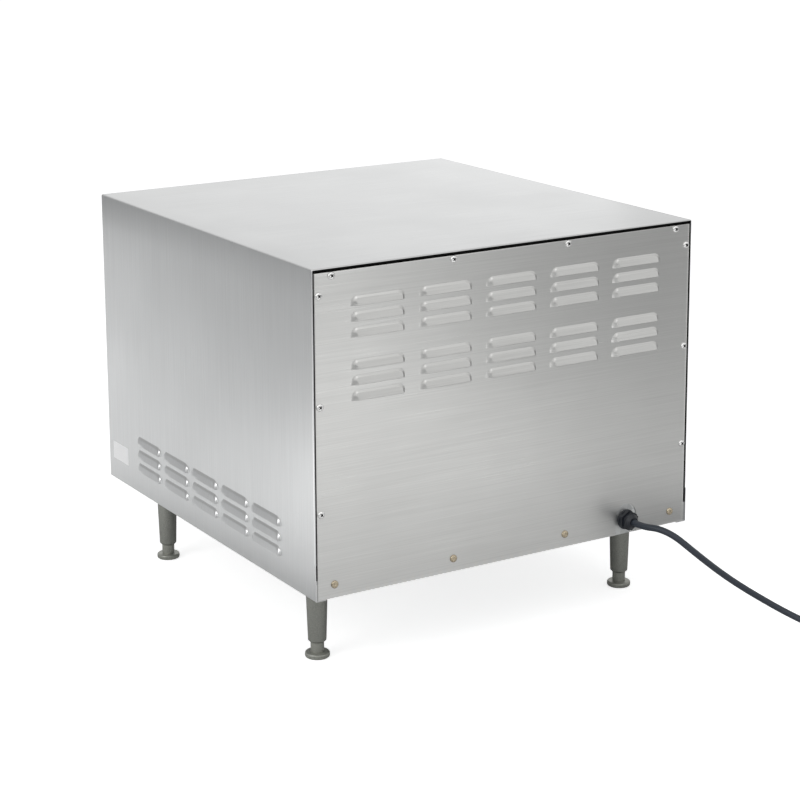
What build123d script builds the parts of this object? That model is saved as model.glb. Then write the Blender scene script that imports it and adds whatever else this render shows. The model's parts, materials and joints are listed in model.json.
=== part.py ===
import os
from math import hypot, pi, radians, sin, tan
from build123d import *

# A countertop deck pizza oven with two baking chambers, each behind its own pull-down door.
# Millimetres. +Z up, the feet stand on z = 0, the doors face -Y, the back panel faces +Y.
# The origin lies under the middle of the overall depth, from the door handles to the cord gland.

# Casing
casing_width = 660.0
casing_depth = 693.5
casing_height = 477.0
leg_height = 124.0  # floor to the underside of the casing
sheet = 1.0  # casing, doors and chamber linings
bend_radius = 2.5
bottom_flange = 17.0
rear_flange = 18.0
rear_flange_start = 54.0  # the hem and flange stop this high above the casing's underside
panel_recess = 0.5  # back panel, in from the rear edge of the casing
panel_side_gap = 1.5  # back panel to the hem
panel_top_gap = 3.3
fit_gap = 0.3  # sheets that slip together
running_gap = 0.05  # pins and spindles in their holes

# Louvres
louvre_length = 88.0
louvre_height = 14.0
louvre_reach = 5.0
louvre_shoulder = 4.0  # the sloping upper edge
louvre_end = 7.0  # the sloping ends
louvre_pitch = 22.3
louvre_rows = 3
rear_louvre_columns = 5
rear_louvre_spacing = 112.7
rear_louvre_lips = (421.1, 329.9)  # lowest edge of the top louvre in each group, above the underside
side_louvre_columns = 5
side_louvre_spacing = 98.9
side_louvre_lip = 82.5
side_louvre_shift = 4.0  # the groups' middle, behind the middle of the casing

# Back panel screws, above the casing's underside
rear_screw_radius = 5.4
rear_screw_head = 3.0
rear_screw_shank = 1.9
rear_screw_depth = 3.0  # shank under the head
rear_screw_inset = 7.0  # side columns, from the panel's edge
rear_screw_columns = 4
rear_screw_margin = 31.0  # outer columns, from the casing's side
rear_screw_top = 465.4
rear_screw_heights = (127.0, 281.8, 438.9)
base_screw_radius = 4.7
base_screw_head = 2.8
base_screw_height = 21.0
cross_width = 1.2  # the recess in each screw's head
cross_depth = 1.5

# Base tray, shelf and control compartment
tray_sheet = 1.2
tray_upstand = 30.0
compartment_height = 112.0  # underside of the casing to the shelf
control_sheet = 1.5
control_flange = 12.0

# Chambers
chamber_width = 520.0
chamber_depth = 530.0
chamber_height = 112.0
deck_pitch = 180.0
first_chamber_floor = 146.0  # above the casing's underside
side_air_gap = 17.7  # insulation to the tray's and frame's sides
insulation_back = 40.0
frame_sheet = 1.2
frame_return = 15.0
stone_length = 508.0
stone_gap = 6.0  # stone to the chamber's side
stone_chamfer = 3.0
stone_thickness = 14.0
ledge_width = 14.0
ledge_height = 22.0  # chamber floor to the top of the ledge

# Heating elements
element_radius = 4.0
element_bend = 24.0
element_runs = 6
element_margin = 40.0  # outer runs' axes to the chamber's sides
element_length = 430.0
element_tail = 52.0  # cold ends, behind the chamber
element_offset = 11.0  # axis from the chamber's floor or roof
bulb_radius = 3.0
bulb_length = 95.0

# Doors
door_width = 590.0
door_height = 160.0
door_thickness = 36.0
door_gap = 3.0  # door's back to the front frame
door_clearance_below = 30.0  # chamber floor to the door's lower edge
window_width = 380.0
window_height = 78.0
pane_margin = 10.0
pane_thickness = 4.0
hinge_height = 8.0  # axis above the door's lower edge
hinge_back = 18.0  # axis in front of the front frame
pin_radius = 4.0
pin_head_radius = 6.0
pin_head = 3.0
bracket_sheet = 4.0
bracket_half_height = 11.0
bracket_foot = 18.0
bracket_gap = 0.8  # bracket to the door's side
spring_wire = 2.0
spring_length = 20.0
handle_radius = 10.0
handle_length = 440.0
handle_post_radius = 6.0
handle_post_spacing = 360.0
handle_stand_off = 44.0  # door's face to the handle's axis
handle_drop = 34.0  # handle's axis below the door's upper edge

# Controls, on the panel below the doors
knob_radius = 19.0
knob_skirt_radius = 22.0
knob_skirt = 4.0
knob_height = 20.0
knob_ridge = 6.0
knob_ridge_inset = 4.0
knob_edge = 2.0
knob_gap = 1.0
spindle_radius = 3.0
spindle_depth = 14.0
control_line = 57.0  # above the casing's underside
knob_places = {
    "lower_timer_knob": -60.0,
    "lower_thermostat_knob": -160.0,
    "upper_timer_knob": 230.0,
    "upper_thermostat_knob": 130.0,
}
rocker_places = {"lower_rocker": -240.0, "upper_rocker": 40.0}
lamp_places = (-240.0, 40.0)
rocker_drop = 14.0  # rocker's axis below the control line
lamp_rise = 22.0
lamp_radius = 6.0
lamp_rim = 1.5
lamp_rim_height = 1.2
rocker_width = 14.0
rocker_length = 24.0
rocker_depth = 9.0
rocker_tilt = 9.0  # degrees each way
rocker_clearance = 0.6
housing_rim = 3.0
housing_depth = 24.0
thermostat_size = (46.0, 34.0, 52.0)  # across, deep, high
timer_size = (44.0, 42.0, 50.0)
terminal_size = (80.0, 34.0, 30.0)
terminal_hole_radius = 4.0

# Legs and adjustable feet
leg_side_inset = 54.5
leg_front_inset = 100.5
leg_rear_inset = 94.3
leg_top_radius = 16.7
leg_end_radius = 13.6
leg_chamfer = 2.8
leg_end_height = 23.5  # floor to the leg's lower end
foot_radius = 18.4
foot_flange = 8.0
foot_edge = 2.6
foot_neck_radius = 10.0
foot_neck_length = 60.0
foot_play = 0.2
stud_radius = 5.0
stud_length = 12.0
nut_flats = 17.0
nut_height = 8.0

# Cord gland and cord
gland_side_inset = 115.5  # axis from the casing's side
gland_height = 23.5  # axis above the casing's underside
notch_radius = 19.6
notch_centre_height = 28.4
gland_plate_width = 66.0
gland_plate_height = 56.0
gland_plate_sheet = 1.5
gland_ring_radius = 15.5
gland_ring = 3.0
gland_hex_flats = 28.0
gland_hex = 7.0
gland_cap_flats = 24.0
gland_cap = 11.0
gland_cap_mouth = 7.4
gland_thread_radius = 8.0
gland_thread = 14.0
gland_locknut_flats = 24.0
gland_locknut = 5.0
cord_radius = 5.0
cord_hole_gap = 0.3
cord_run_share = 0.45

# The cord's route: across from the gland's axis, back from the casing's rear, up from its underside
cord_route = [
    (0.0, 42.75, 23.5),
    (-8.5, 67.75, 27.0),
    (-20.5, 90.75, 20.0),
    (-36.5, 109.25, 2.0),
    (-62.0, 116.25, -21.0),
    (-90.0, 122.25, -44.5),
    (-117.5, 132.25, -66.0),
    (-144.5, 145.25, -85.5),
    (-169.0, 164.75, -103.0),
    (-188.0, 194.75, -115.5),
    (-199.5, 231.75, -119.0),
    (-200.0, 265.75, -119.0),
]
coil_outer_radius = 65.5
coil_step = 5.3  # each half turn is smaller by this much
coil_layer = 10.5
coil_start = 10.0
coil_end = 28.0
half_turns_per_layer = 3

# Plug on the cord's end
plug_length = 48.0
plug_width = 44.0
plug_edge = 7.0
plug_end_edge = 2.0
relief_length = 32.0
relief_radius = 9.0
pin_pitch = 19.0
plug_pin_radius = 2.4
plug_pin_length = 19.0

# Worked out from the sizes above
half_width = casing_width / 2
gland_x = gland_side_inset - half_width
gland_reach = gland_ring + gland_hex + gland_cap - panel_recess - sheet
handle_reach = door_gap + door_thickness + handle_stand_off + handle_radius
overall_depth = handle_reach + casing_depth + gland_reach
rear_y = overall_depth / 2 - gland_reach
front_y = rear_y - casing_depth
middle_y = (rear_y + front_y) / 2
base_z = leg_height
top_z = base_z + casing_height
panel_y = rear_y - panel_recess  # back panel's outer face
flange_y = panel_y - sheet  # rear flange's outer face
tray_half = half_width - sheet - fit_gap
element_width = chamber_width - 2 * element_margin
tray_floor = base_z + sheet
shelf_z = base_z + compartment_height
frame_y = front_y + frame_sheet  # front frame's inner face
door_face = front_y - door_gap - door_thickness
door_back = front_y - door_gap
hinge_y = front_y - hinge_back
liner_back = frame_y + chamber_depth + sheet
control_z = base_z + control_line
control_face = front_y
deck_names = ("lower", "upper")


def chamber_floor(deck):
    return base_z + first_chamber_floor + deck * deck_pitch


def door_bottom(deck):
    return chamber_floor(deck) - door_clearance_below


def front_plane(y):
    return Plane((0, y, 0), x_dir=(1, 0, 0), z_dir=(0, -1, 0))


def rear_plane(y):
    return Plane((0, y, 0), x_dir=(-1, 0, 0), z_dir=(0, 1, 0))


def side_plane(x):
    return Plane((x, 0, 0), x_dir=(0, 1, 0), z_dir=(1, 0, 0))


def box_between(low, high, mode=Mode.ADD):
    size = [b - a for a, b in zip(low, high)]
    middle = [(a + b) / 2 for a, b in zip(low, high)]
    with Locations(tuple(middle)):
        Box(*size, mode=mode)


def save(piece, name):
    piece.part.label = name
    export_step(piece.part, f"parts/{name}.step")


# Louvres, pressed outwards with the open lip below. The sheet's face is the local XY plane.


def louvre_shape(inset, reach):
    half = louvre_length / 2 - inset
    top = louvre_height - inset
    shoulder = louvre_height - louvre_shoulder
    with BuildPart() as shape:
        with BuildSketch(Plane.YZ.offset(-half)):
            Polygon((0, 0), (top, 0), (shoulder - inset / 2, reach), (0, reach), align=None)
        extrude(amount=2 * half)
        for side in (-1, 1):
            corner = half - louvre_end
            with BuildSketch(Plane.XZ):
                Polygon((side * half, 0), (side * half, reach), (side * corner, reach), align=None)
            extrude(amount=-louvre_height, mode=Mode.SUBTRACT)
    return shape.part


def louvre_tools():
    hood = louvre_shape(0, louvre_reach)
    with BuildPart() as hollow:
        with Locations((0, -sheet, -2 * sheet)):
            add(louvre_shape(sheet, louvre_reach + sheet))
    return hood, hollow.part


def press_louvres(places, hood, hollow):
    with Locations(*places):
        add(hood)
    with Locations(*places):
        add(hollow, mode=Mode.SUBTRACT)


def louvre_group(plane, across, lip):
    return [
        plane.location * Location((across, lip - row * louvre_pitch, 0)) for row in range(louvre_rows)
    ]


def spread(count, spacing):
    return [(i - (count - 1) / 2) * spacing for i in range(count)]


# Casing


def wrap_outline(inset, bottom):
    height = top_z - inset - bottom
    with Locations((0, bottom + height / 2)):
        Rectangle(casing_width - 2 * inset, height)
    upper = vertices().group_by(Axis.Y)[-1]
    fillet(upper, max(bend_radius - inset, 0.4))


def wrap_band(y_rear, depth, outer, inner, bottom):
    with BuildSketch(front_plane(y_rear)) as band:
        wrap_outline(outer, bottom)
        with BuildSketch(mode=Mode.PRIVATE) as inside:
            wrap_outline(inner, bottom)
        add(inside.sketch, mode=Mode.SUBTRACT)
    extrude(band.sketch, amount=depth)


def make_casing_wrap(hood, hollow):
    hem_depth = panel_recess + 2 * sheet
    with BuildPart() as wrap:
        wrap_band(rear_y, casing_depth, 0, sheet, base_z)
        wrap_band(rear_y, hem_depth, sheet, 2 * sheet, base_z + rear_flange_start)
        wrap_band(flange_y, sheet, sheet, rear_flange, base_z + rear_flange_start)
        for side in (-1, 1):
            edge = side * half_width
            inner = side * (half_width - bottom_flange)
            box_between((min(edge, inner), front_y, base_z), (max(edge, inner), rear_y, base_z + sheet))
        places = []
        for side in (-1, 1):
            x = side * half_width
            plane = Plane((x, middle_y, base_z), x_dir=(0, side, 0), z_dir=(side, 0, 0))
            for across in spread(side_louvre_columns, side_louvre_spacing):
                places += louvre_group(plane, across + side * side_louvre_shift, side_louvre_lip)
        press_louvres(places, hood, hollow)
        screw_holes(screw_places()[0], panel_recess + 2 * sheet)
    save(wrap, "casing_wrap")


def rear_panel_edge():
    return half_width - 2 * sheet - panel_side_gap


def screw_places():
    side = rear_panel_edge() - rear_screw_inset
    spacing = (casing_width - 2 * rear_screw_margin) / (rear_screw_columns - 1)
    across = spread(rear_screw_columns, spacing)
    top = [(x, rear_screw_top) for x in across]
    sides = [(s * side, z) for s in (-1, 1) for z in rear_screw_heights]
    base = [(x, base_screw_height) for x in across]
    return top + sides, base


def screw_holes(places, depth):
    with BuildSketch(front_plane(rear_y)) as holes:
        with Locations(*[(x, base_z + z) for x, z in places]):
            Circle(rear_screw_shank + running_gap)
    extrude(holes.sketch, amount=depth + sheet, mode=Mode.SUBTRACT)


def notch_cut():
    with Locations((gland_x, base_z + notch_centre_height)):
        Circle(notch_radius, mode=Mode.SUBTRACT)
    with Locations((gland_x, base_z + notch_centre_height / 2)):
        Rectangle(2 * notch_radius, notch_centre_height, mode=Mode.SUBTRACT)


def make_back_panel(hood, hollow):
    bottom = base_z + sheet + fit_gap
    top = top_z - 2 * sheet - panel_top_gap
    width = 2 * rear_panel_edge()
    upper, lower = screw_places()
    with BuildPart() as panel:
        with BuildSketch(front_plane(panel_y)):
            with Locations((0, (top + bottom) / 2)):
                Rectangle(width, top - bottom)
            notch_cut()
            with Locations(*[(x, base_z + z) for x, z in upper + lower]):
                Circle(rear_screw_shank + running_gap, mode=Mode.SUBTRACT)
        extrude(amount=sheet)
        plane = Plane((0, panel_y, base_z), x_dir=(-1, 0, 0), z_dir=(0, 1, 0))
        places = []
        for across in spread(rear_louvre_columns, rear_louvre_spacing):
            for lip in rear_louvre_lips:
                places += louvre_group(plane, across, lip)
        press_louvres(places, hood, hollow)
    save(panel, "back_panel")


def screw_shape(radius, head):
    crown = head * 0.7
    with BuildPart() as screw:
        with BuildSketch(Plane.XZ):
            with BuildLine():
                Line((0, -rear_screw_depth), (rear_screw_shank, -rear_screw_depth))
                Line((rear_screw_shank, -rear_screw_depth), (rear_screw_shank, 0))
                Line((rear_screw_shank, 0), (radius, 0))
                Line((radius, 0), (radius, head - crown))
                RadiusArc((radius, head - crown), (0, head), -radius * 1.6)
                Line((0, head), (0, -rear_screw_depth))
            make_face()
        revolve(axis=Axis.Z)
        with BuildSketch(Plane.XY.offset(head)):
            with Locations(Location((0, 0, 0), (0, 0, 45))):
                Rectangle(radius, cross_width)
                Rectangle(cross_width, radius)
        extrude(amount=-cross_depth, mode=Mode.SUBTRACT)
    return screw.part


def make_screws(name, places, radius, head):
    plane = Plane((0, panel_y, base_z), x_dir=(-1, 0, 0), z_dir=(0, 1, 0))
    shape = screw_shape(radius, head)
    with BuildPart() as screws:
        with Locations(*[plane.location * Location((-x, z, 0)) for x, z in places]):
            add(shape)
    save(screws, name)


# Base tray, shelf, front frame and control panel


def leg_places():
    x = half_width - leg_side_inset
    front = front_y + leg_front_inset
    rear = rear_y - leg_rear_inset
    return {
        "front_left": (-x, front),
        "front_right": (x, front),
        "rear_left": (-x, rear),
        "rear_right": (x, rear),
    }


def make_base_tray():
    floor_top = tray_floor + tray_sheet
    upstand_top = tray_floor + tray_upstand
    front = front_y + control_sheet + fit_gap
    plate_half = gland_plate_width / 2 + fit_gap
    lip_inner = rear_panel_edge() + fit_gap
    with BuildPart() as tray:
        box_between((-tray_half, front, tray_floor), (tray_half, flange_y, floor_top))
        for side in (-1, 1):
            outer = side * tray_half
            inner = side * (tray_half - tray_sheet)
            lip = side * lip_inner
            box_between((min(outer, inner), front, tray_floor), (max(outer, inner), flange_y, upstand_top))
            low = (min(outer, lip), flange_y - tray_sheet, tray_floor)
            high = (max(outer, lip), rear_y - sheet, upstand_top)
            box_between(low, high)
        box_between((-tray_half, flange_y - tray_sheet, tray_floor), (tray_half, flange_y, upstand_top))
        box_between(
            (gland_x - plate_half, flange_y - tray_sheet, floor_top),
            (gland_x + plate_half, flange_y, upstand_top),
            Mode.SUBTRACT,
        )
        with BuildSketch(Plane.XY.offset(tray_floor)):
            with Locations(*leg_places().values()):
                Circle(stud_radius + fit_gap)
        extrude(amount=tray_sheet, mode=Mode.SUBTRACT)
        screw_holes(screw_places()[1], panel_recess + 2 * sheet)
    save(tray, "base_tray")


def make_compartment_shelf():
    rear = flange_y - sheet - fit_gap
    with BuildPart() as shelf:
        box_between((-tray_half, frame_y, shelf_z), (tray_half, rear, shelf_z + tray_sheet))
        for side in (-1, 1):
            outer = side * tray_half
            inner = side * (tray_half - tray_sheet)
            flange_end = control_face + control_sheet + control_flange + fit_gap
            low = (min(outer, inner), flange_end, shelf_z - frame_return)
            box_between(low, (max(outer, inner), rear, shelf_z))
    save(shelf, "compartment_shelf")


def make_front_frame():
    top = top_z - sheet - fit_gap
    with BuildPart() as frame:
        box_between((-tray_half, front_y, shelf_z), (tray_half, frame_y, top))
        for side in (-1, 1):
            outer = side * tray_half
            inner = side * (tray_half - frame_sheet)
            low = (min(outer, inner), front_y, shelf_z + tray_sheet + fit_gap)
            box_between(low, (max(outer, inner), frame_y + frame_return, top))
        box_between((-tray_half, front_y, top - frame_sheet), (tray_half, frame_y + frame_return, top))
        for deck in (0, 1):
            floor = chamber_floor(deck)
            low = (-chamber_width / 2, front_y, floor)
            box_between(low, (chamber_width / 2, frame_y, floor + chamber_height), Mode.SUBTRACT)
        outline = frame.edges().filter_by(Axis.Y).group_by(Axis.Z)[-1]
        fillet([edge for edge in outline if abs(edge.center().X) > tray_half - fit_gap], bend_radius)
    save(frame, "front_frame")


def make_control_panel():
    bottom = base_z + sheet + fit_gap
    top = shelf_z - fit_gap
    back = control_face + control_sheet
    with BuildPart() as panel:
        box_between((-tray_half, control_face, bottom), (tray_half, back, top))
        box_between((-tray_half, control_face, top - control_sheet), (tray_half, back + control_flange, top))
        with BuildSketch(front_plane(back)):
            with Locations(*[(x, control_z) for x in knob_places.values()]):
                Circle(spindle_radius + cord_hole_gap)
            with Locations(*[(x, control_z + lamp_rise) for x in lamp_places]):
                Circle(lamp_radius + running_gap)
            with Locations(*[(x, control_z - rocker_drop) for x in rocker_places.values()]):
                Rectangle(housing_width() + 2 * running_gap, housing_length() + 2 * running_gap)
        extrude(amount=control_sheet, mode=Mode.SUBTRACT)
    save(panel, "control_panel")


# Chambers


def make_chamber_liner(deck):
    floor = chamber_floor(deck)
    half = chamber_width / 2
    roof = floor + chamber_height
    with BuildPart() as liner:
        box_between((-half - sheet, frame_y, floor - sheet), (half + sheet, liner_back, roof + sheet))
        box_between((-half, frame_y, floor), (half, liner_back - sheet, roof), Mode.SUBTRACT)
        for side in (-1, 1):
            wall = side * half
            edge = side * (half - ledge_width)
            ledge = floor + ledge_height
            low = (min(wall, edge), frame_y + 2 * ledge_width, ledge - sheet)
            box_between(low, (max(wall, edge), liner_back - sheet, ledge))
        with BuildSketch(front_plane(liner_back)):
            with Locations(*tail_places(deck)):
                Circle(element_radius + fit_gap)
        extrude(amount=sheet, mode=Mode.SUBTRACT)
    save(liner, f"{deck_names[deck]}_chamber_liner")


def tail_places(deck):
    floor = chamber_floor(deck)
    heights = (floor + element_offset, floor + chamber_height - element_offset)
    return [(s * element_width / 2, z) for s in (-1, 1) for z in heights]


def make_insulation(deck):
    floor = chamber_floor(deck)
    half = chamber_width / 2 + sheet
    between = (deck_pitch - chamber_height) / 2
    bottom = shelf_z + tray_sheet if deck == 0 else floor - between + fit_gap
    top = floor + chamber_height + between
    back = liner_back + insulation_back
    outer = tray_half - side_air_gap
    with BuildPart() as blanket:
        box_between((-outer, frame_y + fit_gap, bottom), (outer, back, top))
        low = (-half - fit_gap, frame_y, floor - sheet - fit_gap)
        high = (half + fit_gap, liner_back + fit_gap, floor + chamber_height + sheet + fit_gap)
        box_between(low, high, Mode.SUBTRACT)
        with BuildSketch(front_plane(back)):
            with Locations(*tail_places(deck)):
                Circle(element_radius + fit_gap)
        extrude(amount=insulation_back, mode=Mode.SUBTRACT)
    save(blanket, f"{deck_names[deck]}_insulation")


def make_deck_stone(deck):
    bottom = chamber_floor(deck) + ledge_height
    rear = liner_back - sheet - fit_gap
    half = chamber_width / 2 - stone_gap
    with BuildPart() as stone:
        box_between((-half, rear - stone_length, bottom), (half, rear, bottom + stone_thickness))
        chamfer(stone.edges().filter_by(Axis.Z), stone_chamfer)
    save(stone, f"{deck_names[deck]}_deck_stone")


def make_element(deck, name, height):
    z = chamber_floor(deck) + height
    step = element_width / (element_runs - 1)
    rear = liner_back - (chamber_depth - element_length) / 2
    front = rear - element_length
    points = []
    for i in range(element_runs):
        x = -element_width / 2 + i * step
        ends = [(x, rear, z), (x, front, z)]
        points += ends if i % 2 == 0 else ends[::-1]
    tail = liner_back + element_tail
    points[0] = (points[0][0], tail, z)
    points[-1] = (points[-1][0], tail, z)
    with BuildPart() as element:
        with BuildLine() as path:
            FilletPolyline(*points, radius=element_bend)
        with BuildSketch(Plane(points[0], z_dir=(0, -1, 0))):
            Circle(element_radius)
        sweep(path=path.line)
    save(element, f"{deck_names[deck]}_{name}_element")


def make_thermostat_bulbs():
    x = -chamber_width / 2 + bulb_radius + fit_gap
    with BuildPart() as bulbs:
        for deck in (0, 1):
            z = chamber_floor(deck) + chamber_height * 2 / 3
            rear = liner_back - chamber_depth / 3
            with BuildSketch(front_plane(rear)):
                with Locations((x, z)):
                    Circle(bulb_radius)
            extrude(amount=bulb_length)
    save(bulbs, "thermostat_bulbs")


# Doors


def hinge_axis(deck):
    return hinge_y, door_bottom(deck) + hinge_height


def rod_along_x(x0, x1, y, z, radius, mode=Mode.ADD):
    with BuildSketch(side_plane(min(x0, x1))) as section:
        with Locations((y, z)):
            Circle(radius)
    extrude(section.sketch, amount=abs(x1 - x0), mode=mode)


def window_box(deck, y0, y1, margin, mode=Mode.SUBTRACT):
    middle = door_bottom(deck) + door_height / 2
    half_w = window_width / 2 + margin
    half_h = window_height / 2 + margin
    box_between((-half_w, y0, middle - half_h), (half_w, y1, middle + half_h), mode)


def make_door_skin(deck):
    bottom = door_bottom(deck)
    half = door_width / 2
    y, z = hinge_axis(deck)
    with BuildPart() as skin:
        box_between((-half, door_face, bottom), (half, door_back - sheet, bottom + door_height))
        fillet(skin.faces().sort_by(Axis.Y)[0].edges(), bend_radius)
        low = (-half + sheet, door_face + sheet, bottom + sheet)
        box_between(low, (half - sheet, door_back, bottom + door_height - sheet), Mode.SUBTRACT)
        window_box(deck, door_face, door_face + sheet, 0)
        rod_along_x(-half, half, y, z, pin_radius + running_gap, Mode.SUBTRACT)
    save(skin, f"{deck_names[deck]}_door_skin")


def make_door_liner(deck):
    bottom = door_bottom(deck)
    half = door_width / 2
    with BuildPart() as liner:
        box_between((-half, door_back - sheet, bottom), (half, door_back, bottom + door_height))
        window_box(deck, door_back - sheet, door_back, 0)
    save(liner, f"{deck_names[deck]}_door_liner")


def make_door_insulation(deck):
    bottom = door_bottom(deck) + sheet + fit_gap
    half = door_width / 2 - sheet - fit_gap
    top = door_bottom(deck) + door_height - sheet - fit_gap
    y, z = hinge_axis(deck)
    pocket = door_width / 2 - spring_length - 2 * spring_wire
    spring_outer = pin_radius + fit_gap + spring_wire
    with BuildPart() as blanket:
        box_between((-half, door_face + sheet + fit_gap, bottom), (half, door_back - sheet - fit_gap, top))
        window_box(deck, door_face, door_back, pane_margin + fit_gap)
        for side in (-1, 1):
            rod_along_x(side * pocket, side * half, y, z, spring_outer + fit_gap, Mode.SUBTRACT)
    save(blanket, f"{deck_names[deck]}_door_insulation")


def make_door_panes(deck):
    inner = door_back - sheet
    outer = door_face + sheet
    with BuildPart() as panes:
        window_box(deck, outer, outer + pane_thickness, pane_margin, Mode.ADD)
        window_box(deck, inner - pane_thickness, inner, pane_margin, Mode.ADD)
    save(panes, f"{deck_names[deck]}_door_panes")


def make_door_handle(deck):
    z = door_bottom(deck) + door_height - handle_drop
    y = door_face - handle_stand_off
    with BuildPart() as handle:
        rod_along_x(-handle_length / 2, handle_length / 2, y, z, handle_radius)
        fillet(handle.edges().filter_by(GeomType.CIRCLE), handle_radius * 0.4)
        with BuildSketch(front_plane(door_face)):
            with Locations(*[(x, z) for x in (-handle_post_spacing / 2, handle_post_spacing / 2)]):
                Circle(handle_post_radius)
        extrude(amount=handle_stand_off)
    save(handle, f"{deck_names[deck]}_door_handle")


def make_door_springs():
    inner = pin_radius + fit_gap
    outer_end = door_width / 2 - sheet - fit_gap
    with BuildPart() as springs:
        for deck in (0, 1):
            y, z = hinge_axis(deck)
            for side in (-1, 1):
                ends = (side * outer_end, side * (outer_end - spring_length))
                rod_along_x(*ends, y, z, inner + spring_wire)
                rod_along_x(*ends, y, z, inner, Mode.SUBTRACT)
    save(springs, "door_springs")


def make_hinge_brackets():
    near = door_width / 2 + bracket_gap
    far = near + bracket_sheet
    with BuildPart() as brackets:
        for deck in (0, 1):
            y, z = hinge_axis(deck)
            for side in (-1, 1):
                a, b = sorted((side * near, side * far))
                rod_along_x(a, b, y, z, bracket_half_height)
                box_between((a, y, z - bracket_half_height), (b, front_y, z + bracket_half_height))
                foot = sorted((side * near, side * (far + bracket_foot)))
                box_between(
                    (foot[0], front_y - bracket_sheet / 2, z - bracket_half_height),
                    (foot[1], front_y, z + bracket_half_height),
                )
                rod_along_x(a, b, y, z, pin_radius + running_gap, Mode.SUBTRACT)
    save(brackets, "hinge_brackets")


def make_hinge_pins():
    outside = door_width / 2 + bracket_gap + bracket_sheet
    inside = door_width / 2 - spring_length
    with BuildPart() as pins:
        for deck in (0, 1):
            y, z = hinge_axis(deck)
            for side in (-1, 1):
                rod_along_x(side * inside, side * outside, y, z, pin_radius)
                rod_along_x(side * outside, side * (outside + pin_head), y, z, pin_head_radius)
    save(pins, "hinge_pins")


# Controls


def make_knob(name, x):
    with BuildPart() as knob:
        with BuildSketch(front_plane(control_face - knob_gap)):
            with Locations((x, control_z)):
                Circle(knob_skirt_radius)
        extrude(amount=knob_skirt)
        with BuildSketch(front_plane(control_face - knob_gap - knob_skirt)):
            with Locations((x, control_z)):
                Circle(knob_radius)
        extrude(amount=knob_height - knob_skirt, taper=4)
        fillet(knob.faces().sort_by(Axis.Y)[0].edges(), knob_edge)
        ridge = front_plane(control_face - knob_gap - knob_height)
        with BuildSketch(ridge):
            with Locations((x, control_z)):
                SlotOverall(2 * (knob_radius - knob_ridge_inset), knob_ridge, rotation=90)
        extrude(amount=3)
        with BuildSketch(rear_plane(control_face - knob_gap)):
            with Locations((-x, control_z)):
                Circle(spindle_radius)
        extrude(amount=knob_gap + control_sheet + spindle_depth)
    save(knob, name)


def housing_width():
    return rocker_width + 2 * rocker_clearance + 2 * housing_rim / 2


def housing_length():
    return rocker_cavity() + 2 * housing_rim / 2


def rocker_cavity():
    return 2 * (hypot(rocker_length / 2, rocker_depth / 2) + rocker_clearance / 2)


def make_rocker(name, x):
    axis = Plane((x, rocker_axis_y(), control_z - rocker_drop), x_dir=(1, 0, 0), z_dir=(0, -1, 0))
    tilted = axis.rotated((rocker_tilt, 0, 0))
    with BuildPart() as rocker:
        with BuildSketch(tilted.offset(-rocker_depth / 2)):
            Rectangle(rocker_width, rocker_length)
        extrude(amount=rocker_depth)
        fillet(rocker.edges().filter_by(Axis.X), 1)
    save(rocker, name)


def rocker_axis_y():
    return control_face + control_sheet / 2


def make_rocker_housings():
    back = control_face + control_sheet + housing_depth
    sweep_depth = rocker_depth / 2 + rocker_length / 2 * sin(radians(rocker_tilt)) + rocker_clearance
    cavity_y = rocker_axis_y() + sweep_depth
    with BuildPart() as housings:
        for x in rocker_places.values():
            z = control_z - rocker_drop
            with BuildSketch(front_plane(back)):
                with Locations((x, z)):
                    Rectangle(housing_width(), housing_length())
            extrude(amount=back - control_face)
            with BuildSketch(front_plane(control_face)):
                with Locations((x, z)):
                    rim = 2 * housing_rim
                    RectangleRounded(housing_width() + rim, housing_length() + rim, housing_rim)
            extrude(amount=housing_rim / 2)
            with BuildSketch(front_plane(cavity_y)):
                with Locations((x, z)):
                    Rectangle(rocker_width + 2 * rocker_clearance, rocker_cavity())
            extrude(amount=cavity_y - control_face + housing_rim, mode=Mode.SUBTRACT)
    save(housings, "rocker_housings")


def make_pilot_lights():
    z = control_z + lamp_rise
    with BuildPart() as lamps:
        for x in lamp_places:
            with BuildSketch(front_plane(control_face + control_sheet + 2 * lamp_radius)):
                with Locations((x, z)):
                    Circle(lamp_radius)
            extrude(amount=control_sheet + 2 * lamp_radius)
            with BuildSketch(front_plane(control_face)):
                with Locations((x, z)):
                    Circle(lamp_radius + lamp_rim)
            extrude(amount=lamp_rim_height)
            with BuildSketch(front_plane(control_face - lamp_rim_height)):
                with Locations((x, z)):
                    Circle(lamp_radius)
            extrude(amount=lamp_radius / 2, taper=35)
    save(lamps, "pilot_lights")


def make_regulators(name, size, kind):
    places = [x for knob, x in knob_places.items() if kind in knob]
    wide, deep, high = size
    front = control_face + control_sheet
    with BuildPart() as bodies:
        for x in places:
            low = (x - wide / 2, front, control_z - high / 2)
            box_between(low, (x + wide / 2, front + deep, control_z + high / 2))
            with BuildSketch(rear_plane(front)):
                with Locations((-x, control_z)):
                    Circle(spindle_radius + running_gap)
            extrude(amount=spindle_depth + fit_gap, mode=Mode.SUBTRACT)
    save(bodies, name)


def make_terminal_block():
    wide, deep, high = terminal_size
    floor = tray_floor + tray_sheet
    rear = flange_y - gland_thread - 2 * deep
    poles = 3
    with BuildPart() as block:
        box_between((gland_x - wide / 2, rear - deep, floor), (gland_x + wide / 2, rear, floor + high))
        with BuildSketch(Plane.XY.offset(floor + high)):
            with Locations(*[(gland_x + dx, rear - deep / 2) for dx in spread(poles, wide / poles)]):
                Circle(terminal_hole_radius)
        extrude(amount=-high / 2, mode=Mode.SUBTRACT)
    save(block, "terminal_block")


# Legs and feet


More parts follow.
